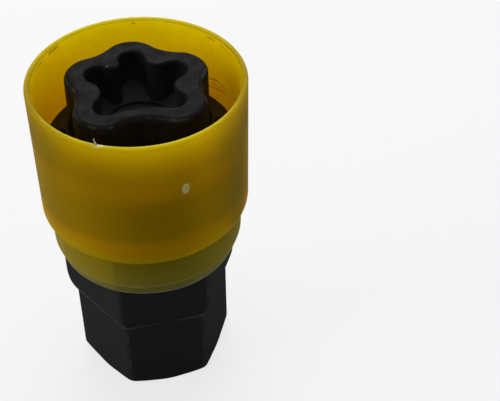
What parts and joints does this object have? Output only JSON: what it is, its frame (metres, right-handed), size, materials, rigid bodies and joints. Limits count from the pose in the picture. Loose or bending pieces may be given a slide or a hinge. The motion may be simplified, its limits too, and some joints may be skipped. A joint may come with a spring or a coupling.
{
  "type": "locking wheel nut key",
  "caption": "Forged hexagon key with a coded lobed recess for removing locking wheel nuts, in a translucent push-on protective sleeve.",
  "frame": {"origin": "middle of the key's flat hexagon end, which it stands on", "axes": "+Z along the key's axis from the hexagon end up to the coded recess, +X towards a corner of both hexagons, +Y across two of their flats"},
  "size_m": [0.0274, 0.0274, 0.047],
  "materials": {
    "black_steel": "matt black oxide over forged and turned steel",
    "yellow_plastic": "translucent yellow moulding with a soft gloss"
  },
  "bodies": {
    "root": {"key": "black_steel", "sleeve": "yellow_plastic"}
  },
  "joints": []
}
